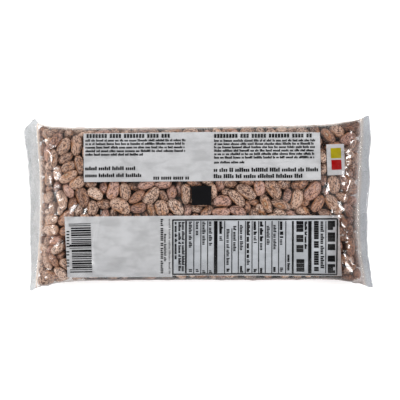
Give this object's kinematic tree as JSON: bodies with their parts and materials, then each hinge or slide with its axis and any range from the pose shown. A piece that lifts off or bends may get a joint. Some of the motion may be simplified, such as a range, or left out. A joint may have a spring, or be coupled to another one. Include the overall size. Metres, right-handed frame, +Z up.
{
  "type": "bag of dried beans",
  "caption": "Clear pillow bag of dried speckled beans with flat end seals and printed panels, lying flat with its back face up.",
  "frame": {"origin": "middle of the bag's box, on the plane it rests on", "axes": "+X along the bag from seal to seal, +Y across it towards the picture's upper side, +Z up out of the face that shows"},
  "size_m": [0.2374, 0.1196, 0.0329],
  "materials": {
    "film": "clear thin packing film, glossy, a little hazy, greyer and crimped at the end seals",
    "beans": "dry bean skin, pinkish tan with brown speckles, faint satin sheen",
    "panel_print": "thin white ink on film, slightly grey and translucent",
    "dark_print": "black ink on film",
    "yellow_print": "yellow ink on film",
    "red_print": "red ink on film",
    "label_print": "reddish brown ink on film, on the face it rests on"
  },
  "bodies": {
    "root": {"bag": "film"}
  },
  "joints": []
}
